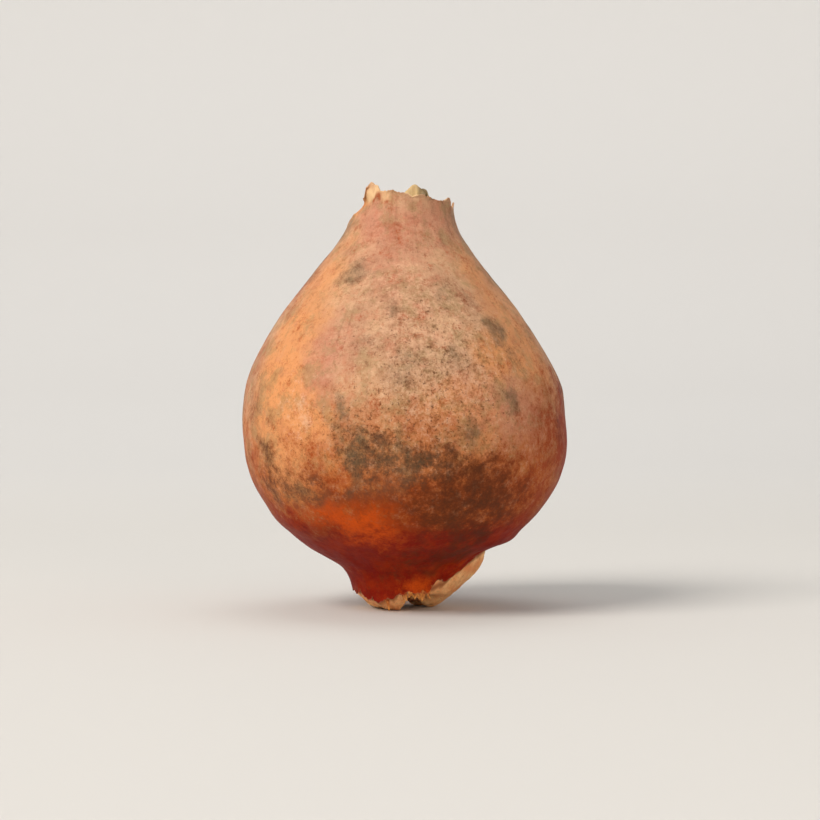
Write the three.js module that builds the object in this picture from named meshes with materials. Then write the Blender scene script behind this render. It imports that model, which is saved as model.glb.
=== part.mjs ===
// A dry tulip bulb, standing on its root plate.
// It has three pieces: the plump body in its brown papery tunic, the cream root plate that shows
// under the torn hem of the tunic, and the dried tips of the inner scales in the torn neck.
//
// Millimetres, +Z up. The origin is on the bulb's axis, on the surface that it stands on.
// Angles are in degrees round the axis, from the front (-Y) towards the right (+X).

import * as THREE from "three";
import { mergeVertices } from "three/addons/utils/BufferGeometryUtils.js";

// Driving dimensions of the body.
const BELLY_RADIUS = 20;
const BELLY_HEIGHT = 21.5;
const WAIST_RADIUS = 9; // where the round underside turns down into the skirt over the root plate
const WAIST_HEIGHT = 6.2;
const SKIRT_RADIUS = 6.2; // at the lowest stretch of the hem
const SHOULDER_RADIUS = 9; // where the straight shoulder turns up into the neck
const SHOULDER_HEIGHT = 43.5;
const NECK_RADIUS = 5.4;
const NECK_TOP = 52.8; // above the highest torn tongue

// The body isn't quite round: it has low lobes, and one side that grew pressed against its neighbour.
const LOBES = [
  { count: 3, phase: 200, depth: 0.16 },
  { count: 5, phase: 40, depth: 0.1 },
];
const PRESSED_SIDE = { at: 170, width: 75, depth: 0.9 };
const FULLEST = { height: 24.5, reach: 25 }; // lobes and pressed side fade out above and below this

// Its axis isn't quite straight: the belly sits back, the shoulder hangs left and the neck leans right.
const BELLY_SET_BACK = 0.2;
const SHOULDER_HANG = { height: 43, reach: 14, shift: 0.4 };
const NECK_LEAN = { from: 46, to: 51, shift: 0.35 };

// The torn edges of the tunic: the mean height of each, and its stretches that stand higher or lower.
const HEM_HEIGHT = 2.3;
const HEM_TEARS = [
  { at: 97, width: 74, rise: 5 }, // torn away over the swollen side of the root plate
  { at: -32, width: 34, rise: -1 },
  { at: -2, width: 12, rise: 0.7 },
  { at: 176, width: 44, rise: 0.9 },
  { at: 236, width: 32, rise: -0.5 },
];
const RIM_HEIGHT = 50.1;
const RIM_TEARS = [
  { at: -3, width: 37, rise: 1 },
  { at: -52, width: 17, rise: 2.3 }, // the tongue that stands up on the left
  { at: -34, width: 8, rise: -0.5 },
  { at: 48, width: 12, rise: -0.3 },
  { at: 67, width: 10, rise: 0.5 },
  { at: 112, width: 32, rise: -0.7 },
  { at: 166, width: 30, rise: 0.7 },
  { at: 236, width: 42, rise: -0.9 },
];
const RIM_LEAN = 0.11; // how far the rim leans out, in mm for each square mm of its height
const TEETH = [
  { count: 13, phase: 20, depth: 0.14 },
  { count: 19, phase: 130, depth: 0.14 },
  { count: 31, phase: 250, depth: 0.14 },
];
const SKIN = 0.65; // wall of the tunic at the neck and at the skirt

// The hollow of the neck, where the tips of the inner scales stand.
const MOUTH_FLOOR = 46.6;
const MOUTH_RADIUS = 3.7;

// The root plate. Its foot is a ring with notches, and it rests on the stretches between them.
const PLATE_RADIUS = 4.9;
const PLATE_FLARE = 0.14; // growth of its radius for each millimetre of height
const PLATE_TOP = 8.2;
const FOOT_INNER_RADIUS = 2.6;
const FOOT_OUTER_RADIUS = 3.8;
const FOOT_ROUNDING = 1.8; // height over which the foot rounds out into the side
const SCAR = { height: 0.9, radius: 1.6, edge: 0.75 }; // the old root scar, a dimple in the foot
const SWELLING = { at: 95, width: 92, bulge: 3.6, from: 0.1, to: 5.6 }; // where new roots push out
const NOTCHES = [
  { at: 14, width: 11, depth: 1.2 },
  { at: 50, width: 30, depth: 0.9 },
  { at: -74, width: 9, depth: 0.7 },
  { at: 128, width: 8, depth: 0.6 },
  { at: 172, width: 11, depth: 0.9 },
  { at: 230, width: 9, depth: 0.7 },
];
const NOTCH_SIDE = { depth: 0.3, reach: 3 }; // a notch runs up the side as a groove that fades out
const ROOT_BUDS = { count: 18, phase: 60, depth: 0.12, height: 0.85, reach: 3.4 };

// The tips of the inner scales: a torn crown of the outer ones round the pointed nose of the inner.
const CROWN_HEIGHT = 49.4;
const CROWN_TEARS = [
  { at: 158, width: 24, rise: 3 }, // the pale tongue that stands above the rim
  { at: 40, width: 50, rise: 0.7 },
  { at: 262, width: 45, rise: 0.6 },
];
const CROWN_WALL = 0.6;
const CROWN_FLARE = 0.08; // growth of its radius for each millimetre of height
const NOSE = { radius: 1.5, foot: 48.3, top: 50.6 };

const GAP = 0.3; // between pieces that touch
const SEGMENTS = 80;
const WALL_STEPS = 27;
const SIDE_STEPS = 9;

const radians = THREE.MathUtils.degToRad;
const { lerp, smoothstep } = THREE.MathUtils;

// 1 at the middle of a stretch, falling smoothly to exactly 0 at its ends.
const hump = (distance) => Math.max(0, 1 - distance * distance) ** 2;

// The shorter way round from one angle to another.
const turnTo = (from, to) => THREE.MathUtils.euclideanModulo(to - from + 180, 360) - 180;

const share = (angle, { at, width }) => hump(turnTo(at, angle) / width);
const bluntShare = (angle, { at, width }) => hump((turnTo(at, angle) / width) ** 2);
const wave = (angle, { count, phase, depth }) => depth * Math.sin(radians(count * angle + phase));
const sum = (values) => values.reduce((total, value) => total + value, 0);

function tornHeight(angle, mean, tears, shareOf) {
  const torn = sum(tears.map((tear) => tear.rise * shareOf(angle, tear)));
  return mean + torn + sum(TEETH.map((tooth) => wave(angle, tooth)));
}

const hemHeight = (angle) => tornHeight(angle, HEM_HEIGHT, HEM_TEARS, share);
const rimHeight = (angle) => tornHeight(angle, RIM_HEIGHT, RIM_TEARS, bluntShare);
const crownHeight = (angle) => tornHeight(angle, CROWN_HEIGHT, CROWN_TEARS, bluntShare);

// The outline of the body from the hem to the neck, as radius over height.
const outline = new THREE.CurvePath();
[
  [[SKIRT_RADIUS, 0], [SKIRT_RADIUS, 3.4], [7.3, 5.4], [WAIST_RADIUS, WAIST_HEIGHT]],
  [[WAIST_RADIUS, WAIST_HEIGHT], [13.5, 8.4], [BELLY_RADIUS, 12.8], [BELLY_RADIUS, BELLY_HEIGHT]],
  [[BELLY_RADIUS, BELLY_HEIGHT], [BELLY_RADIUS, 30.5], [14.9, 36.2], [SHOULDER_RADIUS, SHOULDER_HEIGHT]],
  [[SHOULDER_RADIUS, SHOULDER_HEIGHT], [7.4, 45.5], [6, 47.6], [NECK_RADIUS, NECK_TOP]],
].forEach((stretch) => {
  outline.add(new THREE.CubicBezierCurve(...stretch.map(([r, z]) => new THREE.Vector2(r, z))));
});
const outlinePoints = outline.getPoints(60);

function outlineRadius(height) {
  const above = outlinePoints.findIndex((point) => point.y >= height);
  if (above < 1) return outlinePoints.at(above).x;
  const [low, high] = [outlinePoints[above - 1], outlinePoints[above]];
  return lerp(low.x, high.x, (height - low.y) / (high.y - low.y));
}

const fullness = (height) => hump((height - FULLEST.height) / FULLEST.reach);

function notchDepth(angle) {
  return Math.max(...NOTCHES.map((notch) => notch.depth * share(angle, notch)));
}

function plateRadius(angle, height) {
  const swelling = SWELLING.bulge * share(angle, SWELLING) * smoothstep(height, SWELLING.from, SWELLING.to);
  const rounding = (PLATE_RADIUS - FOOT_OUTER_RADIUS) * Math.max(0, 1 - height / FOOT_ROUNDING) ** 2;
  return PLATE_RADIUS + PLATE_FLARE * height + swelling - rounding;
}

// The tunic follows the body's outline, and lies over the root plate where the plate is wider.
function tunicRadius(angle, height) {
  const overPlate = height < PLATE_TOP ? plateRadius(angle, height) + GAP + SKIN : 0;
  const pressed = PRESSED_SIDE.depth * share(angle, PRESSED_SIDE);
  const uneven = fullness(height) * (sum(LOBES.map((lobe) => wave(angle, lobe))) - pressed);
  const lean = RIM_LEAN * Math.max(0, height - RIM_HEIGHT) ** 2;
  return Math.max(outlineRadius(height), overPlate) + uneven + lean;
}

function axisShift(height) {
  const shoulder = SHOULDER_HANG.shift * hump((height - SHOULDER_HANG.height) / SHOULDER_HANG.reach);
  const neck = NECK_LEAN.shift * smoothstep(height, NECK_LEAN.from, NECK_LEAN.to);
  return { x: neck - shoulder, y: BELLY_SET_BACK * fullness(height) };
}

// A closed surface from an outline that changes as it goes round the axis. Every outline has the
// same number of points, { r, z } with an optional shift { x, y }, and starts and ends on the axis.
function turned(outlineAt) {
  const count = outlineAt(0).length;
  const rings = Array.from({ length: count }, (_, ring) => new THREE.Vector2(1, ring));
  const geometry = new THREE.LatheGeometry(rings, SEGMENTS);
  const position = geometry.getAttribute("position");
  for (let turn = 0; turn <= SEGMENTS; turn++) {
    const angle = (360 * (turn % SEGMENTS)) / SEGMENTS;
    const [right, front] = [Math.sin(radians(angle)), -Math.cos(radians(angle))];
    outlineAt(angle).forEach(({ r, z, x = 0, y = 0 }, ring) => {
      position.setXYZ(turn * count + ring, x + r * right, y + r * front, z);
    });
  }
  geometry.deleteAttribute("normal");
  geometry.deleteAttribute("uv");
  return mergeVertices(geometry);
}

// The body in its tunic: a socket for the root plate below, and the hollow mouth of the neck above.
function bulbBody() {
  const socketTop = PLATE_TOP + GAP;
  return turned((angle) => {
    const hem = hemHeight(angle);
    const rim = rimHeight(angle);
    const socketRadius = (z) => plateRadius(angle, z) + GAP;
    const points = [{ r: 0, z: socketTop }, { r: socketRadius(socketTop) / 2, z: socketTop }];
    for (const part of [0, 1 / 3, 2 / 3, 1]) {
      const z = lerp(socketTop, hem, part);
      points.push({ r: socketRadius(z), z });
    }
    for (let step = 0; step <= WALL_STEPS; step++) {
      const part = step / WALL_STEPS;
      const closerAtEdges = 0.09 * Math.sin(2 * Math.PI * part);
      const z = lerp(hem, rim, part - closerAtEdges);
      points.push({ r: tunicRadius(angle, z), z, ...axisShift(z) });
    }
    const rimInside = tunicRadius(angle, rim) - SKIN;
    for (const part of [0, 1 / 2, 1]) {
      const z = lerp(rim, MOUTH_FLOOR, part);
      points.push({ r: lerp(rimInside, MOUTH_RADIUS, part), z, ...axisShift(z) });
    }
    points.push({ r: 0, z: MOUTH_FLOOR, ...axisShift(MOUTH_FLOOR) });
    return points;
  });
}

// The root plate: a scarred, notched foot, sides with a ring of root buds, and a top in the socket.
function rootPlate() {
  return turned((angle) => {
    const notch = notchDepth(angle);
    const points = [
      { r: 0, z: SCAR.height },
      { r: SCAR.radius, z: SCAR.edge },
      { r: FOOT_INNER_RADIUS, z: notch },
      { r: FOOT_OUTER_RADIUS, z: notch },
    ];
    for (let step = 1; step <= SIDE_STEPS; step++) {
      const z = lerp(notch, PLATE_TOP, (step / SIDE_STEPS) ** 1.5); // closer steps where the foot rounds
      const groove = NOTCH_SIDE.depth * notch * hump(z / NOTCH_SIDE.reach);
      const ring = hump((z - ROOT_BUDS.height) / ROOT_BUDS.reach);
      const buds = ring * (ROOT_BUDS.depth + wave(angle, ROOT_BUDS));
      points.push({ r: plateRadius(angle, z) - groove + buds, z });
    }
    points.push({ r: 0, z: PLATE_TOP });
    return points;
  });
}

// The dried tips of the inner scales, standing on the floor of the mouth clear of its wall.
function scaleTips() {
  const floor = MOUTH_FLOOR + GAP;
  const middle = axisShift(floor);
  return turned((angle) => {
    const crown = crownHeight(angle);
    const points = [{ r: 0, z: floor, ...middle }];
    for (const part of [0, 1 / 2, 1]) {
      const z = lerp(floor, crown, part);
      points.push({ r: MOUTH_RADIUS - GAP + CROWN_FLARE * (z - floor), z, ...axisShift(z) });
    }
    const top = points.at(-1);
    points.push({ ...top, r: top.r - CROWN_WALL });
    points.push({ r: (top.r + NOSE.radius) / 2, z: NOSE.foot, ...middle });
    points.push({ r: NOSE.radius, z: lerp(NOSE.foot, NOSE.top, 0.1), ...middle });
    points.push({ r: NOSE.radius * 0.55, z: lerp(NOSE.foot, NOSE.top, 0.6), ...middle });
    points.push({ r: 0, z: NOSE.top, ...middle });
    return points;
  });
}

function mesh(name, geometry, colour, roughness) {
  const material = new THREE.MeshStandardMaterial({ color: colour, roughness, metalness: 0 });
  const made = new THREE.Mesh(geometry, material);
  made.name = name;
  return made;
}

const bulb = new THREE.Group();
bulb.add(mesh("bulb_body", bulbBody(), "#b06a3e", 0.6));
bulb.add(mesh("root_plate", rootPlate(), "#d8b184", 0.7));
bulb.add(mesh("scale_tips", scaleTips(), "#c3ac7c", 0.75));

export default bulb;
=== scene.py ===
"""Dresses a dry tulip bulb: its papery brown tunic, torn at the neck and at the base, the cream
root plate under it, the dried tips of the inner scales in the neck and the shreds under the hem.

The pieces are shaped in millimetres and scaled to metres as they are finished, +Z up. Angles are
in degrees round the axis, from the front (-Y) towards the right (+X)."""

import math
import random
from collections import namedtuple

import bmesh
import bpy
import numpy as np
from mathutils import Matrix, Vector, noise
from mathutils.bvhtree import BVHTree


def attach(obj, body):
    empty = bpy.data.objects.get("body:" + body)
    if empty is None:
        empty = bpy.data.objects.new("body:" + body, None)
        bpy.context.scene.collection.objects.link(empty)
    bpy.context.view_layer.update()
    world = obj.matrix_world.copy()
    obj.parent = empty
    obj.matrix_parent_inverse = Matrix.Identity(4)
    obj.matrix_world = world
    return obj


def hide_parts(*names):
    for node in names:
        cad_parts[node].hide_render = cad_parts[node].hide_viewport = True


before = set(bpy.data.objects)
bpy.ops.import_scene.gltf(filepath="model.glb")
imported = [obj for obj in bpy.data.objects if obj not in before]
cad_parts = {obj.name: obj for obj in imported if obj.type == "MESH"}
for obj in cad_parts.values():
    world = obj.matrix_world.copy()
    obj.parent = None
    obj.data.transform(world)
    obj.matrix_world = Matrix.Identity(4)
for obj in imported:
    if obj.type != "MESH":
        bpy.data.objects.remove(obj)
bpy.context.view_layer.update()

MM = 0.001

# Camera and picture frame: level with the belly, a little over a quarter of a metre away.
CAMERA_DISTANCE = 285 * MM
CAMERA_RISE = math.radians(1.0)
AIM = Vector((0.68, 0, 24.4)) * MM
PICTURE_WIDTH = 101.2 * MM  # what the picture takes in at the bulb
SENSOR = 36.0

# The table top in metres, as radius and height: flat, then swept up into a backdrop.
FLOOR_SWEEP = [(0, 0), (0.42, 0), (0.60, 0.02), (0.78, 0.09), (0.90, 0.22), (0.96, 0.40), (0.98, 0.6)]
BACKDROP = "#cdcac5"

# Tunic: the torn skin is paper thin at its edges and lies on the solid of the frame elsewhere.
SKIN = 0.26
SEATING = 0.06  # what stays between the tunic and the root plate under its hem
COLUMNS = 80
WALL_ROWS = 44
EDGE_INSET = 0.2  # the outline is felt this far inside a torn edge

# Where the tunic lies differently from its solid: it is drawn in tight over the swollen side of
# the root plate and hangs a little to the left at the shoulder.
DRAWN_IN = {"at": 95, "width": 88, "depth": 1.15, "fades": (7.0, 8.4)}
SHOULDER_HANG = {"height": 31, "reach": 15, "shift": -0.36}

# Low swellings of the skin: angle and half width in degrees, height and reach in mm, how far out.
Swell = namedtuple("Swell", "at width height reach out")
SWELLS = [
    Swell(-85, 70, 7.4, 2.4, 0.45), Swell(-80, 60, 10.4, 2.8, 0.40), Swell(95, 60, 8.3, 1.5, 0.50),
    Swell(-85, 60, 27.0, 8.0, 0.20), Swell(85, 50, 27.5, 4.0, 0.35), Swell(-66, 28, 49.6, 1.4, -0.55),
]

# The outermost ply is lost above a torn line: how thick it is, how far its torn edge is rolled up,
# and the line, as angle and how far below the rim it runs.
PLY = 0.8
PLY_ROLL = 0.10
PLY_TEAR = [
    (-205, -0.5), (-185, 0.8), (-150, 2.0), (-100, 2.4), (-80, 2.0), (-70, 1.3), (-64, 0.3), (-60, -0.5),
]
PLY_SHOWS = (44, 46)  # the heights between which the loss sets in

# Stretches of an edge, as angle, half width in degrees and how far in mm: slits that run into the
# hem and the rim, lobes of the rim and of the hem that reach past their solid, the part of the root
# plate's foot that stays off the ground, and, from 0 to 1, how pale the torn rim is.
HEM_SLITS = [
    (-63, 2.6, 0.9), (-55, 1.8, 0.7), (-38, 1.6, 0.5), (38, 14, 0.7), (118, 2.0, 0.8), (205, 2.4, 1.0),
]
HEM_LOBES = [(-3, 7, 0.9), (-24, 12, 0.3)]
RIM_SLITS = [
    (-58.5, 11, 1.25), (-58, 5, 0.45), (-50, 5, 0.5), (8, 18, 0.75), (74, 14, 1.1), (97, 10, 0.9),
    (140, 2.4, 0.7), (-150, 3, 0.9),
]
RIM_LOBES = [(-26, 4, 0.35), (-31, 6.5, 0.85), (-35.5, 6, 1.5), (47, 8, 0.3)]
FOOT_RISES = [(-50, 20, 0.25), (2, 14, 0.6), (13, 15, 0.9), (32, 24, 0.5), (48, 56, 1.1)]
PALE_RIM = [(10, 14, 1.0), (-50, 16, 0.6), (135, 40, 0.8), (-125, 30, 0.7), (58, 6, 0.6)]

# Noises of the skin, as how far they move it in mm, how many mm across their features are, and a
# seed. Those that run up and down the bulb have their features measured on a ring of radius 1.
LUMPS = [(0.11, 7.0, 0), (0.04, 2.4, 3), (0.014, 0.9, 5)]
RIBS = [(0.008, 1 / 14, 9)]
PLEATS = [(0.10, 1 / 5, 11)]
GATHERS = [(0.12, 1 / 6.5, 13)]
CURLS = [(0.18, 1 / 3.4, 17)]
RIB_LENGTH = 400  # how much they are drawn out
PLEATED = (41, 47)  # the heights between which the pleats of the neck set in
GATHERED = (9.5, 5)  # the same for the gathers of the base
LEVEL_OUT = ((42, 45), (7, 5))  # the heights past which the relief stands level out from the axis

# Teeth of the torn edges, as how high they are in mm, how far apart, the radius of the edge, a seed.
HEM_TEETH = [(0.20, 0.7, 6.6, 1), (0.14, 0.3, 6.6, 2)]
RIM_TEETH = [(0.16, 0.7, 5.4, 3), (0.12, 0.28, 5.4, 4)]
PLY_TEETH = [(0.22, 0.6, 5.6, 7.7)]
LIP = 1.4  # how far in mm an edge is crinkled on both of its faces
CURLED = 0.9  # how far the rim is curled
PULLED = 1.2  # how far slits, lobes and teeth pull the skin along with them

# Noises that make the outlines of the marks uneven: sideways, up and down, and where the tan and
# the browns begin.
ASIDE = [(0.9, 3.2, 21), (0.6, 1.0, 23)]
UP_DOWN = [(0.9, 3.2, 25), (0.6, 1.0, 27)]
BROWNS = [(3.0, 8.0, 31), (1.5, 2.5, 33)]
TANS = [(3.0, 7.0, 37)]

# A mark on the skin: the angle and the height of its middle, its half sizes in mm, how strong it is
# and by how many degrees its top leans to the left.
Mark = namedtuple("Mark", "at height wide tall strength lean", defaults=(0,))
FADED = 1.7  # how many half sizes from its middle a mark has faded out
MARKS = {
    # Brown stains of soil and juice, most of them low on the bulb.
    "stain": [
        Mark(-16.5, 21.9, 1.3, 3.4, 0.6), Mark(-17.5, 18.2, 1.6, 2.6, 0.8),
        Mark(-5.2, 20.5, 6.0, 2.0, 0.5), Mark(6.0, 19.0, 6.0, 2.4, 0.75),
        Mark(20.0, 18.0, 5.5, 2.8, 0.95), Mark(34.0, 14.0, 6.0, 4.0, 0.85),
        Mark(41.9, 12.7, 4.4, 3.6, 0.5), Mark(18.0, 13.0, 7.0, 3.4, 0.85),
        Mark(-56.7, 18.6, 2.0, 3.8, 0.75), Mark(-48.0, 17.0, 3.6, 3.0, 0.55),
        Mark(-40.6, 15.4, 2.2, 2.2, 0.35), Mark(-33.2, 14.4, 2.2, 2.0, 0.3),
        Mark(69.7, 23.9, 1.4, 3.6, 0.6), Mark(35.0, 8.4, 2.6, 2.6, 0.95), Mark(22.0, 6.0, 2.6, 1.6, 0.7),
        Mark(22.0, 14.5, 4.0, 3.0, 0.8), Mark(4.0, 7.4, 4.0, 2.0, 0.6), Mark(-8.0, 4.6, 2.6, 1.2, 0.55),
    ],
    # Grey olive mould.
    "mould": [
        Mark(-16.5, 20.0, 1.5, 4.6, 0.85), Mark(-6.0, 19.5, 5.0, 3.0, 0.6),
        Mark(7.0, 18.4, 5.0, 3.0, 0.45), Mark(45.5, 33.9, 1.8, 2.0, 1.0),
        Mark(48.3, 31.3, 0.9, 3.0, 0.7, 28), Mark(43.0, 25.9, 2.0, 2.0, 0.95),
        Mark(23.3, 22.3, 1.4, 2.4, 0.9), Mark(-31.5, 40.9, 3.0, 1.9, 0.85),
        Mark(21.5, 38.5, 1.5, 1.8, 0.75), Mark(38.0, 38.0, 2.0, 1.6, 0.5),
        Mark(22.4, 30.7, 1.8, 1.8, 0.85), Mark(3.0, 31.0, 2.6, 1.8, 0.75),
        Mark(-1.1, 28.4, 2.4, 2.0, 0.7), Mark(-3.8, 37.3, 1.4, 1.5, 0.7),
        Mark(-22.0, 25.0, 1.0, 2.8, 0.95), Mark(-14.0, 33.0, 2.4, 2.0, 0.6),
        Mark(-0.3, 47.1, 0.6, 0.8, 0.6), Mark(22.2, 47.7, 0.9, 0.6, 0.5), Mark(11.1, 42.9, 0.9, 0.7, 0.5),
        Mark(74.0, 48.0, 2.0, 3.6, 0.8), Mark(32.0, 50.4, 1.0, 0.6, 0.9),
        Mark(-80.0, 45.5, 1.2, 3.6, 0.8, -20), Mark(-60.0, 25.0, 3.5, 5.0, 0.55),
        Mark(-0.5, 18.4, 2.0, 2.4, 0.75), Mark(-19.5, 16.2, 0.9, 1.6, 0.8),
        Mark(-8.0, 15.4, 4.0, 1.8, 0.6), Mark(-51.0, 14.6, 3.6, 2.4, 0.7),
        Mark(-34.0, 14.6, 3.4, 2.0, 0.75),
    ],
    # Orange skin, fresh and smooth; on the left flank it is also a painted highlight.
    "glow": [
        Mark(-45.0, 23.0, 4.0, 4.0, 1.0), Mark(-50.0, 50.6, 3.0, 1.6, 0.6),
        Mark(-72.0, 49.5, 1.6, 1.6, 0.9), Mark(-52.9, 34.0, 4.0, 9.0, 0.65, -6),
        Mark(-46.8, 25.6, 5.0, 9.0, 1.0), Mark(-41.7, 21.5, 4.5, 6.0, 0.8),
        Mark(-62.0, 42.0, 3.0, 6.0, 0.4), Mark(63.3, 33.5, 4.5, 7.0, 0.6),
        Mark(29.0, 23.5, 3.0, 4.5, 0.7), Mark(40.0, 31.0, 3.4, 2.6, 0.9),
        Mark(-37.5, 27.6, 1.8, 2.0, 0.8), Mark(-29.5, 23.2, 1.6, 2.0, 1.0),
        Mark(52.0, 41.0, 2.5, 4.0, 0.5), Mark(58.0, 28.0, 4.0, 6.0, 0.5), Mark(18.0, 25.5, 3.5, 3.0, 0.7),
    ],
    # Skin with a pink cast.
    "blush": [
        Mark(-4.2, 42.7, 5.5, 4.0, 0.7), Mark(-29.0, 30.6, 3.5, 5.0, 0.8), Mark(2.0, 35.0, 7.0, 5.0, 0.4),
        Mark(-34.0, 47.0, 2.5, 3.0, 0.6), Mark(30.0, 25.0, 5.0, 5.0, 0.6),
        Mark(52.0, 24.0, 5.0, 5.0, 0.7), Mark(0.0, 47.5, 9.0, 2.6, 0.7), Mark(50.0, 47.0, 4.0, 3.0, 0.3),
    ],
    # Soil dust, rubbed in.
    "soil": [
        Mark(14.9, 29.9, 13.0, 11.0, 0.9), Mark(-8.0, 21.0, 12.0, 7.0, 0.9),
        Mark(0.0, 40.0, 9.0, 7.0, 0.4), Mark(45.0, 20.0, 12.0, 12.0, 0.35),
        Mark(-45.0, 17.0, 10.0, 7.0, 0.4),
    ],
    # Pale flecks, where the outermost cells have come off, and painted glints of the sheen; the large one
    # on the left flank is a painted highlight.
    "fleck": [
        Mark(-38.0, 24.5, 3.4, 4.5, 1.0), Mark(16.0, 30.0, 11.0, 10.0, 1.0),
        Mark(-5.0, 20.0, 8.0, 5.0, 0.3), Mark(-48.0, 51.6, 3.0, 1.6, 1.0), Mark(3.0, 38.0, 6.0, 4.0, 0.7),
    ],
    # Bright orange skin among the red brown.
    "ember": [
        Mark(-18.0, 11.8, 4.6, 2.0, 1.0), Mark(-38.0, 12.6, 5.0, 2.0, 0.5),
        Mark(-15.0, 9.4, 3.6, 1.6, 0.65), Mark(16.0, 3.0, 2.6, 1.5, 0.75),
        Mark(38.0, 5.5, 3.0, 1.5, 0.35),
    ],
    # Rust brown skin beyond the brown of the lower half; the marks on the right side, from 60 to 76
    # degrees, are painted shade with painted reddish bounce light.
    "rust": [
        Mark(76.0, 21.0, 7.0, 9.0, 0.7), Mark(60.0, 18.0, 8.0, 6.0, 0.2),
        Mark(60.0, 22.0, 3.6, 3.4, 0.35), Mark(-60.0, 13.0, 8.0, 4.0, 0.45),
        Mark(16.0, 14.5, 10.0, 4.5, 0.8), Mark(38.0, 13.5, 9.0, 5.0, 0.8),
        Mark(-2.0, 47.0, 1.0, 0.8, 0.5), Mark(-22.0, 45.5, 2.6, 1.4, 0.3),
        Mark(52.0, 44.5, 1.5, 2.5, 0.2), Mark(-32.5, 50.0, 0.4, 0.6, 1.0),
    ],
    # Where the rust brown of the lower half, partly painted shade, is weaker.
    "spared": [
        Mark(-50.0, 15.0, 5.0, 3.5, 0.5), Mark(62.0, 15.5, 4.0, 3.0, 0.4),
    ],
    # Deep red brown skin beyond that of the base, partly painted shade and painted reddish bounce light;
    # the marks on the right side, at 80 and 98 degrees, are painted shade.
    "deep": [
        Mark(80.0, 22.0, 4.0, 9.0, 0.65), Mark(98.0, 17.0, 7.0, 4.0, 0.45),
        Mark(-58.0, 10.5, 6.0, 2.4, 0.8), Mark(8.0, 10.8, 3.6, 1.2, 0.6),
    ],
    # Bleached skin below the rim.
    "bleached": [Mark(-44.0, 51.2, 2.2, 1.6, 0.7)],
}

# Marks strewn over the sides and the back, between the base and the neck: the seed of the draw, how
# many there are, and the least and the most of their half widths, half heights and strengths.
STREWN_ANGLES = (82, 278)
STREWN_HEIGHTS = (10, 46)
STREWN_LEANS = (-25, 25)
STREWN = {
    "stain": (5, 20, (1.0, 3.4), (1.2, 4.0), (0.3, 0.9)),
    "mould": (3, 14, (1.2, 2.4), (1.4, 3.4), (0.5, 0.9)),
    "glow": (6, 10, (3.0, 6.0), (5.0, 9.0), (0.4, 0.9)),
    "blush": (7, 9, (3.0, 6.0), (3.0, 6.0), (0.3, 0.8)),
    "soil": (8, 8, (8.0, 13.0), (7.0, 12.0), (0.4, 0.9)),
    "fleck": (9, 6, (5.0, 10.0), (5.0, 9.0), (0.4, 0.8)),
    "rust": (4, 8, (5.0, 9.0), (5.0, 9.0), (0.2, 0.5)),
}

# Going down the bulb, the skin is first tanned, then rust brown, and deep red brown at the base. The
# rust brown and the red brown are partly the skin's own colour and partly painted shade, the red brown
# also painted reddish bounce light, and both begin higher on the right and at the back, where painted
# shade darkens the side. Each gives the height in mm at which it begins, how much higher that is on
# the browner side painted in shade, and the height at which it is full.
TANNED = (35, 0, 12)
RUST_BROWN_AND_SHADE = (25, 3, 9)
RED_BROWN_AND_SHADE = (15.2, 2, 8.2)
SHADED_BROWNER_SIDE = 145

# How far in mm from each torn edge the skin is bleached to straw, and how strongly.
STRAW = {"rim": (0.4, 1.0), "ply": (0.25, 0.8), "hem": (0.3, 0.4)}

# The noises that break up the coats: how many mm across their features are, their detail and
# roughness, and whether they are taken elsewhere, so as not to lie on the others. Grains of soil
# dust and chalk are under 0.1 mm, so they are drawn 0.4 mm across.
PATTERNS = {
    "clouds": (5.5, 5.0, 0.62, False), "mottle": (1.5, 4.0, 0.70, False),
    "patches": (3.2, 5.0, 0.75, True), "lichen": (2.4, 5.0, 0.90, True),
    "crumbs": (1.4, 3.6, 0.95, False), "grit": (0.42, 2.0, 0.80, True),
}

# Veins run along the bulb; real cells are 0.05 mm wide, so they are drawn in bundles of them: how
# many there are to a radian round the bulb and to a mm along it.
VEINS = 26
VEIN_RUN = 0.09

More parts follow.
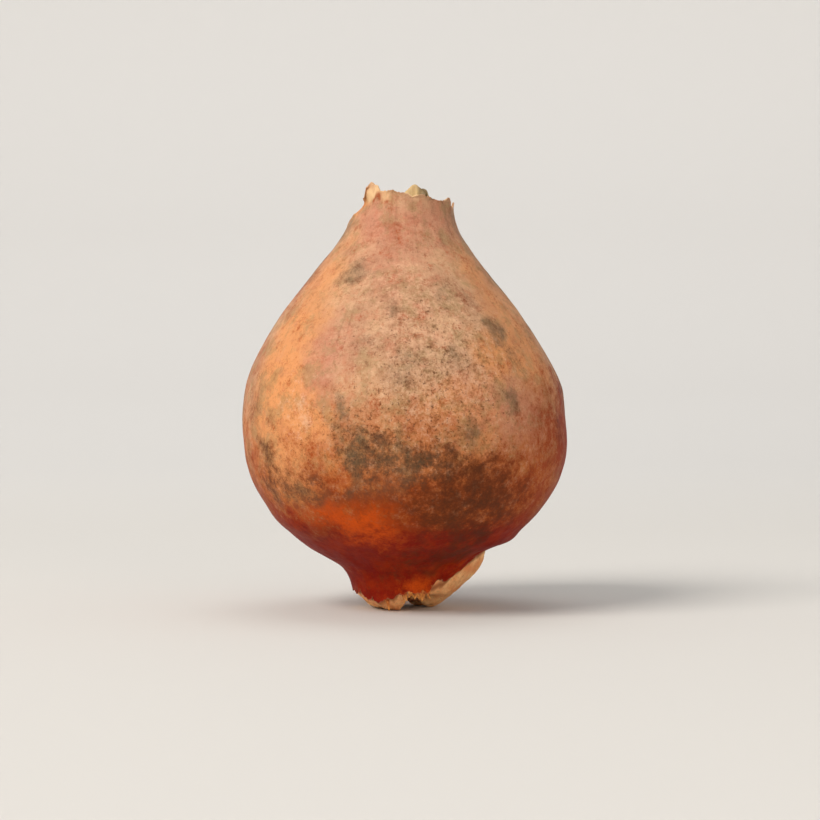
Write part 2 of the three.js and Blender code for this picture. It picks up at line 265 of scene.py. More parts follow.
# The coats of the tunic, one over the other: the painted value they follow, or None where they lie
# all over, the pattern that breaks them up and its share, the sum of value and pattern at which they
# begin and at which they are full, how much they then cover, and their colour.
Coat = namedtuple("Coat", "follows pattern share begins full covers colour")
COATS = [Coat(*coat) for coat in (
    ("warm", "crumbs", 1.2, 0.60, 1.7, 1.00, "#be6c34"),
    # The orange coats are partly a painted highlight on the left flank, the paler second one most of all.
    ("glow", "clouds", 0.9, 0.35, 1.5, 1.00, "#c98552"),
    ("glow", "crumbs", 1.4, 0.90, 2.0, 0.50, "#dc9a64"),
    ("blush", "mottle", 0.9, 0.50, 1.7, 1.00, "#b87a62"),
    (None, "patches", 1.0, 0.47, 0.62, 0.50, "#8f7850"),
    (None, "mottle", 1.0, 0.50, 0.66, 0.30, "#b06a4c"),
    (None, "veins", -1.0, -0.45, -0.2, 0.12, "#cc9468"),
    # The rust brown coat is partly the skin's own colour and partly painted shade.
    ("rust", "lichen", 2.4, 1.15, 2.2, 1.00, "#903a0e"),
    (None, "crumbs", -1.0, -0.50, -0.30, 0.18, "#e0b08a"),
    # The pale fleck coat is partly painted glints and painted highlight.
    ("fleck", "crumbs", -3.2, -0.95, -0.1, 0.38, "#e2b796"),
    # The red brown coats are partly the skin's own colour and partly painted shade and painted reddish
    # bounce light.
    ("deep", "lichen", 2.4, 1.30, 2.15, 1.00, "#8e3008"),
    ("deep", "crumbs", 1.6, 1.25, 1.90, 1.00, "#7e0f02"),
    ("deep", "patches", -4.0, -1.30, -0.4, 0.35, "#b03c0a"),
    ("ember", "lichen", 2.4, 1.35, 2.3, 0.85, "#d4540e"),
    (None, "veins", 1.0, 0.52, 0.8, 0.25, "#5c2c16"),
    (None, "crumbs", 1.0, 0.50, 0.70, 0.30, "#5a2c14"),
    (None, "grit", 1.0, 0.56, 0.80, 0.40, "#5e321c"),
    ("stain", "lichen", 2.8, 1.65, 2.75, 0.78, "#3c2a18"),
    ("mould", "lichen", 2.2, 1.35, 2.30, 0.64, "#504a38"),
    ("soil", "crumbs", 2.6, 2.10, 2.8, 0.38, "#4c2a16"),
    ("soil", "grit", 3.2, 2.60, 3.2, 0.60, "#4a2412"),
    ("torn", "mottle", 0.5, 0.45, 1.1, 1.00, "#dcb98c"),
)]


def linear(hex_colour):
    """An sRGB hex colour as linear RGBA."""
    channels = [int(hex_colour[i:i + 2], 16) / 255 for i in (1, 3, 5)]
    return [c / 12.92 if c <= 0.04045 else ((c + 0.055) / 1.055) ** 2.4 for c in channels] + [1.0]


def hump(distance):
    """1 at the middle of a stretch, falling smoothly to 0 where the distance is 1."""
    return np.clip(1 - np.square(distance), 0, 1) ** 2


def blend(value, low, high):
    """0 up to the low value and 1 from the high one, smooth between them."""
    share = np.clip((value - low) / (high - low), 0, 1)
    return share * share * (3 - 2 * share)


def turn_to(start, angle):
    """The shorter way round from one angle to another."""
    return (angle - start + 180) % 360 - 180


def link(obj):
    bpy.context.scene.collection.objects.link(obj)
    return obj


# ---------------------------------------------------------------------------- camera and studio

def look_at(obj, place, target):
    obj.location = place
    obj.rotation_mode = "QUATERNION"
    obj.rotation_quaternion = (Vector(target) - Vector(place)).to_track_quat("-Z", "Y")


def add_camera():
    camera = link(bpy.data.objects.new("camera", bpy.data.cameras.new("camera")))
    camera.data.sensor_width = SENSOR
    camera.data.lens = SENSOR * CAMERA_DISTANCE / PICTURE_WIDTH
    camera.data.clip_start = 0.01
    back = Vector((0, -math.cos(CAMERA_RISE), math.sin(CAMERA_RISE)))
    look_at(camera, AIM + back * CAMERA_DISTANCE, AIM)
    bpy.context.scene.camera = camera


def add_light(name, place, size, power, colour, target=AIM):
    lamp = bpy.data.lights.new(name, "AREA")
    lamp.shape = "DISK"
    lamp.size = size
    lamp.energy = power
    lamp.color = linear(colour)[:3]
    look_at(link(bpy.data.objects.new(name, lamp)), place, target)


def add_studio():
    """A soft window high on the left, a weak warm fill low on the right, overhead and backdrop lights."""
    add_light("window", (-0.76, -0.63, 0.84), 0.75, 18.0, "#fffaf4")
    add_light("fill", (0.30, -0.52, 0.10), 0.18, 0.45, "#ffe6d4")
    add_light("overhead", (0.0, 0.25, 1.05), 0.70, 2.0, "#ffffff")
    add_light("backdrop", (0.0, 0.30, 0.55), 0.30, 0.9, "#e8efff", (0, 0.96, 0.36))
    world = bpy.data.worlds.new("room")
    bpy.context.scene.world = world
    world.use_nodes = True
    sky = world.node_tree.nodes["Background"]
    sky.inputs["Color"].default_value = linear("#eef1f4")
    sky.inputs["Strength"].default_value = 0.55
    bpy.context.scene.view_settings.view_transform = "Standard"


def add_floor():
    """A round pale table top whose rim sweeps up into a backdrop, with its faces turned upwards."""
    bm = bmesh.new()
    verts = [bm.verts.new((x, 0, z)) for x, z in FLOOR_SWEEP]
    edges = [bm.edges.new(pair) for pair in zip(verts, verts[1:])]
    bmesh.ops.spin(bm, geom=verts + edges, cent=(0, 0, 0), axis=(0, 0, 1), angle=math.tau,
                   steps=96, use_merge=True)
    bmesh.ops.remove_doubles(bm, verts=bm.verts, dist=1e-5)
    bmesh.ops.recalc_face_normals(bm, faces=bm.faces)
    if sum(face.normal.z for face in bm.faces) < 0:
        bmesh.ops.reverse_faces(bm, faces=bm.faces)
    mesh = bpy.data.meshes.new("floor")
    bm.to_mesh(mesh)
    bm.free()
    mesh.shade_smooth()
    material, tree, shader = new_material("pale paper backdrop", 0.9)
    shader.inputs["Base Color"].default_value = linear(BACKDROP)
    mesh.materials.append(material)
    link(bpy.data.objects.new("floor", mesh))


# ------------------------------------------------------------------------------------ materials

def new_material(name, roughness):
    material = bpy.data.materials.new(name)
    material.use_nodes = True
    shader = material.node_tree.nodes["Principled BSDF"]
    shader.inputs["Roughness"].default_value = roughness
    return material, material.node_tree, shader


def socket_of(node, key):
    """A node's input, by its number or as the first one in use of that name."""
    if isinstance(key, int):
        return node.inputs[key]
    return next(socket for socket in node.inputs if socket.name == key and socket.enabled)


def add(tree, kind, settings, links=None):
    """Adds a node, sets its properties and sockets, and links its sockets to nodes or outputs."""
    node = tree.nodes.new("ShaderNode" + kind)
    for key, value in settings.items():
        if isinstance(key, str) and hasattr(node, key):
            setattr(node, key, value)
        else:
            socket_of(node, key).default_value = value
    for key, source in (links or {}).items():
        if isinstance(source, bpy.types.Node):
            source = next(output for output in source.outputs if output.enabled)
        tree.links.new(source, socket_of(node, key))
    return node


def per_metre(size):
    """The scale of a noise whose features are this many millimetres across."""
    return 1 / (size * MM)


def tunic_material():
    """Dry outer scale of a bulb: thin papery skin with a low sheen, its cells drawn out along the
    bulb, tanned brown and orange, red brown below, with soil dust and mould stains ground into it.
    Part of the orange is a painted highlight and part of the red brown is painted shade and painted
    reddish bounce light."""
    material, tree, shader = new_material("dry papery bulb tunic", 0.55)
    shader.inputs["IOR"].default_value = 1.25
    shader.inputs["Specular IOR Level"].default_value = 0.28
    place = add(tree, "TexCoord", {}).outputs["Object"]
    elsewhere = add(tree, "Mapping", {"Location": (0.031, 0.017, 0.009)}, {"Vector": place})
    grain = add(tree, "Attribute", {"attribute_name": "grain"}).outputs["Vector"]

    patterns = {"veins": add(tree, "TexNoise", {"Scale": 1.0, "Detail": 4.0, "Roughness": 0.65},
                             {"Vector": grain})}
    for name, (size, detail, roughness, shifted) in PATTERNS.items():
        patterns[name] = add(tree, "TexNoise", {"Scale": per_metre(size), "Detail": detail,
                                                "Roughness": roughness},
                             {"Vector": elsewhere if shifted else place})

    cloudy = add(tree, "MapRange", {"From Min": 0.34, "From Max": 0.66,
                                    "interpolation_type": "SMOOTHSTEP"}, {"Value": patterns["clouds"]})
    colour = add(tree, "Mix", {"data_type": "RGBA", "A": linear("#a87d5f"), "B": linear("#c49e7b")},
                 {"Factor": cloudy})
    for coat in COATS:
        links = {0: patterns[coat.pattern]}
        if coat.follows:
            links[2] = add(tree, "Attribute", {"attribute_name": coat.follows}).outputs["Fac"]
        amount = add(tree, "Math", {"operation": "MULTIPLY_ADD", 1: coat.share, 2: 0.0}, links)
        cover = add(tree, "MapRange", {"From Min": coat.begins, "From Max": coat.full,
                                       "To Max": coat.covers, "interpolation_type": "SMOOTHSTEP"},
                    {"Value": amount})
        colour = add(tree, "Mix", {"data_type": "RGBA", "B": linear(coat.colour)},
                     {"Factor": cover, "A": colour})
    tree.links.new(colour.outputs[2], shader.inputs["Base Color"])

    gloss = add(tree, "MapRange", {"From Min": 0.3, "From Max": 0.7, "To Min": 0.45, "To Max": 0.65},
                {"Value": patterns["mottle"]})
    tree.links.new(gloss.outputs[0], shader.inputs["Roughness"])
    bump = None
    for pattern, height in (("mottle", 0.05), ("veins", 0.02), ("grit", 0.03)):
        links = {"Height": patterns[pattern]}
        if bump:
            links["Normal"] = bump
        bump = add(tree, "Bump", {"Distance": height * MM, "Strength": 0.8}, links)
    tree.links.new(bump.outputs[0], shader.inputs["Normal"])
    return material


def plate_material():
    """Dried root plate: corky cream tissue, matt, a little translucent, browned at its scars."""
    material, tree, shader = new_material("dried cork of the root plate", 0.75)
    place = add(tree, "TexCoord", {}).outputs["Object"]
    browned = add(tree, "Attribute", {"attribute_name": "browned"}).outputs["Fac"]
    patches = add(tree, "TexNoise", {"Scale": per_metre(1.8), "Detail": 4.0, "Roughness": 0.6},
                  {"Vector": place})
    # Cork cells are 0.05 mm across, so they are drawn as pits of 0.35 mm.
    pits = add(tree, "TexNoise", {"Scale": per_metre(0.35), "Detail": 3.0, "Roughness": 0.75},
               {"Vector": place})
    cream = add(tree, "Mix", {"data_type": "RGBA", "A": linear("#e8975a"), "B": linear("#fdc98a")},
                {"Factor": add(tree, "MapRange", {"From Min": 0.36, "From Max": 0.64}, {"Value": patches})})
    stained = add(tree, "MapRange", {"From Min": 0.5, "From Max": 0.68, "To Max": 0.45}, {"Value": pits})
    cream = add(tree, "Mix", {"data_type": "RGBA", "B": linear("#a06a38")}, {"Factor": stained, "A": cream})
    brown = add(tree, "Math", {"operation": "MULTIPLY_ADD", 1: 0.6}, {0: patches, 2: browned})
    brown = add(tree, "MapRange", {"From Min": 0.45, "From Max": 1.2}, {"Value": brown})
    cream = add(tree, "Mix", {"data_type": "RGBA", "B": linear("#8a4418")}, {"Factor": brown, "A": cream})
    tree.links.new(cream.outputs[2], shader.inputs["Base Color"])
    shader.inputs["Subsurface Weight"].default_value = 0.15
    shader.inputs["Subsurface Radius"].default_value = (1.0, 0.5, 0.25)
    shader.inputs["Subsurface Scale"].default_value = 0.6 * MM
    lumps = add(tree, "Bump", {"Distance": 0.12 * MM, "Strength": 0.8}, {"Height": patches})
    corky = add(tree, "Bump", {"Distance": 0.06 * MM, "Strength": 0.8}, {"Height": pits, "Normal": lumps})
    tree.links.new(corky.outputs[0], shader.inputs["Normal"])
    return material


def scale_material():
    """Dried tip of an inner scale: straw-coloured, thin, lightly translucent, with olive streaks."""
    material, tree, shader = new_material("dried straw of the inner scales", 0.6)
    place = add(tree, "TexCoord", {}).outputs["Object"]
    tall = add(tree, "Mapping", {"Scale": (1, 1, 0.12)}, {"Vector": place})
    streaks = add(tree, "TexNoise", {"Scale": per_metre(0.35), "Detail": 4.0, "Roughness": 0.6},
                  {"Vector": tall})
    olive = add(tree, "Attribute", {"attribute_name": "olive"}).outputs["Fac"]
    straw = add(tree, "Mix", {"data_type": "RGBA", "A": linear("#dfc48e"), "B": linear("#b08c55")},
                {"Factor": streaks})
    amount = add(tree, "Math", {"operation": "MULTIPLY_ADD", 1: 0.5}, {0: streaks, 2: olive})
    amount = add(tree, "MapRange", {"From Min": 0.4, "From Max": 1.1}, {"Value": amount})
    straw = add(tree, "Mix", {"data_type": "RGBA", "B": linear("#6f5a34")}, {"Factor": amount, "A": straw})
    tree.links.new(straw.outputs[2], shader.inputs["Base Color"])
    shader.inputs["Subsurface Weight"].default_value = 0.2
    shader.inputs["Subsurface Radius"].default_value = (1.0, 0.7, 0.4)
    shader.inputs["Subsurface Scale"].default_value = 0.5 * MM
    ridged = add(tree, "Bump", {"Distance": 0.06 * MM, "Strength": 0.8}, {"Height": streaks})
    tree.links.new(ridged.outputs[0], shader.inputs["Normal"])
    return material


def shred_material():
    """Fibrous shreds of the skin's inner ply: dry, matt and orange brown."""
    material, tree, shader = new_material("orange fibre of the inner ply", 0.6)
    place = add(tree, "TexCoord", {}).outputs["Object"]
    dryness = add(tree, "Attribute", {"attribute_name": "dryness"}).outputs["Fac"]
    fibres = add(tree, "TexNoise", {"Scale": per_metre(0.3), "Detail": 3.0}, {"Vector": place})
    amount = add(tree, "Math", {"operation": "MULTIPLY_ADD", 1: 2.0}, {0: fibres, 2: dryness})
    amount = add(tree, "MapRange", {"From Min": 0.8, "From Max": 2.0}, {"Value": amount})
    orange = add(tree, "Mix", {"data_type": "RGBA", "A": linear("#8a2c0c"), "B": linear("#e0984e")},
                 {"Factor": amount})
    tree.links.new(orange.outputs[2], shader.inputs["Base Color"])
    shader.inputs["IOR"].default_value = 1.25
    rough = add(tree, "Bump", {"Distance": 0.05 * MM, "Strength": 0.8}, {"Height": fibres})
    tree.links.new(rough.outputs[0], shader.inputs["Normal"])
    return material


# --------------------------------------------------------------------------- the frame's solids

def solid_of(node):
    """A node's solid in millimetres, to be felt along straight lines."""
    bm = bmesh.new()
    bm.from_mesh(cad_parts[node].data)
    bmesh.ops.scale(bm, vec=Vector((1, 1, 1)) / MM, verts=bm.verts)
    solid = BVHTree.FromBMesh(bm, epsilon=1e-4)
    bm.free()
    return solid


# The solids are felt a little beside their columns of edges and their poles, which let a ray slip.
BESIDE = 0.02
BY_THE_AXIS = (0.12, 0.07)

# The heights on the wall and past the edge between which each torn edge lies.
HEM_LIES = (9, 0)
RIM_LIES = (47, 54)


def outward(angle):
    """The level direction of an angle."""
    turn = math.radians(angle)
    return Vector((math.sin(turn), -math.cos(turn), 0))


def outer_radius(solid, angle, height):
    """How far from the axis the near side lies, felt from outside, or None past its edges."""
    far, short_of_axis = 60, 0.5
    out = outward(angle + BESIDE)
    hit = solid.ray_cast(out * far + Vector((0, 0, height)), -out, far - short_of_axis)[0]
    return hit.xy.length if hit else None


def inner_radius(solid, angle, height):
    """How far from the axis the wall lies, felt from the axis."""
    return solid.ray_cast(Vector((0, 0, height)), outward(angle + BESIDE))[0].xy.length


def level_felt(solid, start, way):
    """The height of the first face above or below a point."""
    return solid.ray_cast(Vector(start), Vector((0, 0, way)))[0].z


def edge_height(solid, angle, on_wall, past_edge):
    """The height of a torn edge that lies between a height on the wall and one past the edge."""
    for _ in range(14):  # halves the stretch to under a thousandth of a millimetre
        middle = (on_wall + past_edge) / 2
        if outer_radius(solid, angle, middle) is None:
            past_edge = middle
        else:
            on_wall = middle
    return on_wall


body = solid_of("bulb_body")
plate = solid_of("root_plate")
ANGLES = [360 * column / COLUMNS - 180 for column in range(COLUMNS)]
HEMS = [edge_height(body, angle, *HEM_LIES) for angle in ANGLES]
RIMS = [edge_height(body, angle, *RIM_LIES) for angle in ANGLES]
FLARES = [outer_radius(body, angle, hem + EDGE_INSET + 1) - outer_radius(body, angle, hem + EDGE_INSET)
          for angle, hem in zip(ANGLES, HEMS)]  # how far the skirt widens in its lowest mm
SOCKET_TOP = level_felt(body, (*BY_THE_AXIS, 0), 1)
MOUTH_FLOOR = level_felt(body, (*BY_THE_AXIS, 60), -1)
PLATE_TOP = level_felt(plate, (*BY_THE_AXIS, 60), -1)
PLATE_UNDER = level_felt(plate, (*BY_THE_AXIS, -1), 1)


def round_the_bulb(angles, values):
    """Values known at each column of the solids, at any angle."""
    return np.interp(angles, ANGLES, values, period=360)


# ---------------------------------------------------------------------------- making the pieces

def turned(outlines, columns, zones=()):
    """A closed skin from one outline for each column, as (radius, height) from axis to axis. It
    starts as a straight line spun round the axis, whose points then go to their outlines."""
    rows = len(outlines[0])
    bm = bmesh.new()
    zone = bm.verts.layers.float.new("outer")
    line = [bm.verts.new((1, 0, row)) for row in range(rows)]
    edges = [bm.edges.new(pair) for pair in zip(line, line[1:])]
    bmesh.ops.spin(bm, geom=line + edges, cent=(0, 0, 0), axis=(0, 0, 1), angle=math.tau,
                   steps=columns, use_merge=True)
    for vert in bm.verts:
        row = round(vert.co.z)
        angle = math.degrees(math.atan2(vert.co.x, -vert.co.y))
        column = round((angle + 180) * columns / 360) % columns
        radius, height = outlines[column][row]
        vert.co = outward(360 * column / columns - 180) * radius + Vector((0, 0, height))
        vert[zone] = 1.0 if zones and zones[row] else 0.0
    bmesh.ops.remove_doubles(bm, verts=bm.verts, dist=1e-5)
    bmesh.ops.recalc_face_normals(bm, faces=bm.faces)
    return bm


def rounded(bm, name, levels):
    """The object of a bmesh once Subdivision Surface has rounded it, still in millimetres."""
    mesh = bpy.data.meshes.new(name)
    bm.to_mesh(mesh)
    bm.free()
    obj = link(bpy.data.objects.new(name, mesh))
    rounding = obj.modifiers.new("rounding", "SUBSURF")
    rounding.levels = rounding.render_levels = levels
    smooth = bpy.data.meshes.new_from_object(obj.evaluated_get(bpy.context.evaluated_depsgraph_get()))
    obj.modifiers.clear()
    obj.data = smooth
    return obj


def points_of(mesh):
    points = np.empty(len(mesh.vertices) * 3)
    mesh.vertices.foreach_get("co", points)
    return points.reshape(-1, 3)


def values_of(mesh, name):
    values = np.empty(len(mesh.vertices))
    mesh.attributes[name].data.foreach_get("value", values)
    return values


def paint(mesh, name, values):
    """Keeps a value for each point of a piece, for its material."""
    layer = mesh.attributes.new(name, "FLOAT", "POINT")
    layer.data.foreach_set("value", np.ascontiguousarray(values, float))


def finished(obj, points, material, node):
    """Moves the points where they belong, in metres, and hands the piece to the frame."""
    mesh = obj.data
    if points is not None:
        mesh.vertices.foreach_set("co", np.ascontiguousarray(points).ravel())
    mesh.transform(Matrix.Scale(MM, 4))
    mesh.update()
    mesh.shade_smooth()
    mesh.materials.append(material)
    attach(obj, "root")
    if node:
        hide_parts(node)


def polar(points):
    """The angle, height and radius of each point."""
    angles = np.degrees(np.arctan2(points[:, 0], -points[:, 1]))
    return angles, points[:, 2], np.hypot(points[:, 0], points[:, 1])


def away_from_axis(points):
    """The level direction from the axis to each point."""
    level = points * (1, 1, 0)
    return level / np.maximum(np.hypot(points[:, 0], points[:, 1]), 1e-3)[:, None]


TEETH_TO_ONE = 1.6  # what brings a noise to about -1 to 1, on a ring and in space
WAVES_TO_ONE = 1.4


def stretches(angles, table):
    """What a table of stretches adds up to at each angle."""
    return sum(size * hump(turn_to(at, angles) / half) for at, half, size in table)


def teeth(angles, table):
    """How far a table of teeth raises a torn edge at each angle."""
    raised = np.zeros(len(angles))
    for height, spacing, radius, seed in table:
        ring = radius / spacing
        raised += height * TEETH_TO_ONE * np.array([
            noise.noise(Vector((ring * math.sin(turn), ring * math.cos(turn), seed)))
            for turn in np.radians(angles)])
    return raised


def waves(points, table):
    """What a table of smooth noises adds up to at each point."""
    raised = np.zeros(len(points))
    for height, width, seed in table:
        shift = Vector((seed, seed * 1.7, seed * 2.3))
        raised += height * WAVES_TO_ONE * np.array([
            noise.noise(Vector(point) / width + shift) for point in points])
    return raised


def drawn_in(angles):
    """How far the tunic is drawn in over the swollen side of the root plate."""
    return DRAWN_IN["depth"] * hump(turn_to(DRAWN_IN["at"], angles) / DRAWN_IN["width"])


# The tunic -------------------------------------------------------------------------------------

# The inner faces of the torn edges: how far in mm each row lies from its edge, and how many skins
# deep under the outer face.
HEM_LIP = [(0.9, 1.5), (0.35, 1.0), (0.0, 1.0)]
RIM_LIP = [(0.0, 1.0), (0.35, 1.0), (1.0, 1.6)]
SKIRT = 1.8  # the height in mm of the skirt over the hem, felt from inside
ROWS_DRAWN = 0.13  # how far the rows of the wall are drawn towards its edges


def wall_radius(angle, height, hem, rim):
    """The radius of the body's outer face, felt inside its torn edges."""
    return outer_radius(body, angle, min(max(height, hem + EDGE_INSET), rim - EDGE_INSET))


def tunic_outline(angle, hem, rim):
    """The section of the tunic at an angle, and which of its points lie on the outer face."""
    socket = inner_radius(body, angle, SOCKET_TOP - 0.3)
    skirt = inner_radius(body, angle, hem + SKIRT)
    below = [(0, SOCKET_TOP), (socket * 0.5, SOCKET_TOP), (socket, SOCKET_TOP)]
    for part in (0.3, 0.7):
        below.append((socket + (skirt - socket) * part, SOCKET_TOP + (hem + SKIRT - SOCKET_TOP) * part))
    for up, skins in HEM_LIP:
        below.append((wall_radius(angle, hem + up, hem, rim) - SKIN * skins, hem + up))
    wall = []
    for row in range(WALL_ROWS + 1):
        part = row / WALL_ROWS
        height = hem + (rim - hem) * (part - ROWS_DRAWN * math.sin(math.tau * part))
        wall.append((wall_radius(angle, height, hem, rim), height))
    mouth = [(wall_radius(angle, rim - down, hem, rim) - SKIN * skins, rim - down)
             for down, skins in RIM_LIP]
    floor = inner_radius(body, angle, MOUTH_FLOOR + 0.2)
    mouth += [((mouth[-1][0] + floor) / 2, (mouth[-1][1] + MOUTH_FLOOR) / 2),
              (floor, MOUTH_FLOOR), (floor * 0.5, MOUTH_FLOOR), (0, MOUTH_FLOOR)]
    return below + wall + mouth, [False] * len(below) + [True] * len(wall) + [False] * len(mouth)


def hem_shape(angles):
    """How far the slits and lobes of the hem lift it at each angle."""
    return stretches(angles, HEM_SLITS) - stretches(angles, HEM_LOBES)


def torn_ply(angles, rims):
    """The height above which the outermost ply is lost."""
    return rims - np.interp(angles, *zip(*PLY_TEAR), period=360) + teeth(angles, PLY_TEETH)


def along_bulb(angles, heights):
    """Places on a ring of radius 1, drawn out along the bulb, for noises that run up and down it."""
    turn = np.radians(angles)
    return np.stack([np.sin(turn), np.cos(turn), heights / RIB_LENGTH], axis=1)


def relief(points, angles, heights, lost):
    """How far the skin stands out: lumps, ribs, the pleats of the neck, the gathers of the base and
    the step down where the outermost ply is lost."""
    lengthwise = along_bulb(angles, heights)
    pleats = blend(heights, *PLEATED) * waves(lengthwise, PLEATS)
    gathers = blend(heights, *GATHERED) * waves(lengthwise, GATHERS)
    step = PLY_ROLL * hump((heights - lost + 0.25) / 0.5) - PLY * blend(heights, lost - 0.05, lost + 0.12)
    return (waves(points, LUMPS) + waves(lengthwise, RIBS) + pleats + gathers
            + blend(heights, *PLY_SHOWS) * step)


def swellings(angles, heights):
    """How far the low swellings of the skin stand out, and how far it is drawn in at the base."""
    base = 1 - blend(heights, *DRAWN_IN["fades"])
    return sum(swell.out * hump(turn_to(swell.at, angles) / swell.width)
               * hump((heights - swell.height) / swell.reach) for swell in SWELLS) - drawn_in(angles) * base


def shape_tunic(obj):
    """Crinkles the rounded tunic, tears its edges finely, and says where its points lie."""
    mesh = obj.data
    points = points_of(mesh)
    outer = values_of(mesh, "outer")
    normals = np.array([vert.normal[:] for vert in mesh.vertices])
    angles, heights, _ = polar(points)
    hems, rims = round_the_bulb(angles, HEMS), round_the_bulb(angles, RIMS)
    lost = torn_ply(angles, rims)

    near_edge = np.maximum(hump((heights - hems) / LIP), hump((rims - heights) / LIP))
    share = np.maximum(outer, near_edge)
    curl = near_edge * hump((rims - heights) / CURLED) * waves(along_bulb(angles, heights), CURLS)
    away = away_from_axis(points)
    level = np.maximum(*(blend(heights, *reach) for reach in LEVEL_OUT))[:, None]
    along = normals * (1 - level) + away * level
    along /= np.maximum(np.linalg.norm(along, axis=1), 1e-6)[:, None]
    hang = SHOULDER_HANG["shift"] * hump((heights - SHOULDER_HANG["height"]) / SHOULDER_HANG["reach"])
    points = points + along * (relief(points, angles, heights, lost) * share + curl)[:, None]
    points = points + away * (swellings(angles, heights) * share)[:, None]
    points[:, 0] += hang * outer

    hem_rise = hump((heights - hems) / PULLED) * (teeth(angles, HEM_TEETH) + hem_shape(angles))
    points[:, 2] += hem_rise
    points += away * (hem_rise * round_the_bulb(angles, FLARES))[:, None]
    rim_shape = stretches(angles, RIM_LOBES) - stretches(angles, RIM_SLITS)
    points[:, 2] += hump((rims - heights) / PULLED) * (teeth(angles, RIM_TEETH) + rim_shape)
    return points, angles, heights, hems, rims, lost


def marked(marks, angles, heights, radii):
    """How strong the marks are together at each point."""
    left = np.ones(len(angles))
    for mark in marks:
        across = np.radians(turn_to(mark.at, angles)) * radii
        up = heights - mark.height
        lean = math.radians(mark.lean)
        along = up * math.cos(lean) - across * math.sin(lean)
        aside = across * math.cos(lean) + up * math.sin(lean)
        left *= 1 - mark.strength * hump(np.hypot(aside / mark.wide, along / mark.tall) / FADED)
    return 1 - left


def strewn(kind):
    """The marks of a kind on the sides and the back."""
    if kind not in STREWN:
        return []
    seed, count, wide, tall, strength = STREWN[kind]
    draw = random.Random(seed)
    ranges = (STREWN_ANGLES, STREWN_HEIGHTS, wide, tall, strength, STREWN_LEANS)
    return [Mark(*(draw.uniform(*between) for between in ranges)) for _ in range(count)]


def tinted(heights, tint, side, uneven):
    """How far a tint of the lower bulb has set in."""
    begins, higher, full = tint
    return blend(heights, begins + higher * side + uneven, full)


def straw(edge, distances):
    """How far the skin is bleached at these distances from a torn edge."""
    reach, strength = STRAW[edge]
    return strength * hump(distances / reach)


def colour_tunic(mesh, points, angles, heights, hems, rims, lost):
    """Keeps what the material needs to know of each point: the marks on the skin and its edges."""
    radii = np.hypot(points[:, 0], points[:, 1])
    turned_by = np.degrees(waves(points, ASIDE) / np.maximum(radii, 3))
    spots = (angles + turned_by, heights + waves(points, UP_DOWN), radii)
    lies = {kind: marked(marks + strewn(kind), *spots) for kind, marks in MARKS.items()}

    # How far each point lies towards the side painted in shade, from 0 to 1.
    side = 0.5 + 0.5 * np.cos(np.radians(angles - SHADED_BROWNER_SIDE))
    uneven = waves(points, BROWNS)
    # The rust brown of the lower half is partly painted shade.
    rust = tinted(heights, RUST_BROWN_AND_SHADE, side, uneven) * (1 - lies["spared"])
    lies["warm"] = tinted(heights, TANNED, side, waves(points, TANS))
    lies["rust"] = np.maximum(lies["rust"], rust)
    # The red brown of the base is partly painted shade and painted reddish bounce light.
    lies["deep"] = np.maximum(lies["deep"], tinted(heights, RED_BROWN_AND_SHADE, side, uneven))
    pale_rim = np.clip(stretches(angles, PALE_RIM), 0, 1) * straw("rim", rims - heights)
    lies["torn"] = np.maximum.reduce([lies["bleached"], pale_rim, straw("ply", heights - lost),
                                      straw("hem", heights - hems)])
    for kind in sorted({coat.follows for coat in COATS if coat.follows}):
        paint(mesh, kind, lies[kind])

    turn = np.radians(angles)
    grain = np.stack([np.sin(turn) * VEINS, np.cos(turn) * VEINS, heights * VEIN_RUN], axis=1)
    layer = mesh.attributes.new("grain", "FLOAT_VECTOR", "POINT")
    layer.data.foreach_set("vector", np.ascontiguousarray(grain).ravel())


def add_tunic():
    sections = [tunic_outline(*column) for column in zip(ANGLES, HEMS, RIMS)]
    zones = sections[0][1]
    bm = turned([section for section, _ in sections], COLUMNS, zones)
    tunic = rounded(bm, "papery_tunic", 2)
    points, *where = shape_tunic(tunic)
    colour_tunic(tunic.data, points, *where)
    finished(tunic, points, tunic_material(), "bulb_body")


# The root plate --------------------------------------------------------------------------------

UNDER_RADII = (0.7, 1.3, 1.9, 2.5, 3.1, 3.6)  # where its underside is felt
SIDE_LEVELS = 16
CROWDED = 1.25  # the power that crowds the levels of its side towards the foot
PLATE_LUMPS = [(0.12, 1.6, 41), (0.05, 0.6, 43)]
OLD_SCAR = 2.1  # the radius of the brown scar of last year's plate
SCAR_EDGE = [(0.35, 1.2, 45), (0.15, 0.4, 47)]
SCAR_DEPTH = 0.12
SCAR_GROUND = [(0.10, 0.7, 49)]
ROOT_PITS = 26
PITS_LIE = (2.6, 3.5)  # how far from the axis the pits lie
PIT_RADII = (0.28, 0.45)
PIT_DEPTH = 0.25


def plate_outline(angle, hem):
    """The section of the root plate: its foot, then its side, which fills the skirt of the tunic."""
    section = [(0, PLATE_UNDER)]
    for radius in UNDER_RADII:
        section.append((radius, level_felt(plate, outward(angle + BESIDE) * radius - Vector((0, 0, 1)), 1)))
    foot = section[-1][1]
    under_hem = outer_radius(body, angle, hem + EDGE_INSET) - float(drawn_in(angle)) - SKIN - SEATING
    spare = under_hem - outer_radius(plate, angle, hem + EDGE_INSET)
    for level in range(1, SIDE_LEVELS + 1):
        height = foot + (PLATE_TOP - foot) * (level / SIDE_LEVELS) ** CROWDED
        out = outer_radius(plate, angle, min(max(height, foot + 0.06), PLATE_TOP - 0.05))
        below = blend(height, min(1.0, hem - 1.4), hem - 0.1)
        above = 1 - blend(height, hem + 0.9, hem + 2.0)
        section.append((out + spare * below * above, height))
    section.append((section[-1][0] * 0.5, PLATE_TOP))
    section.append((0, PLATE_TOP))
    return section


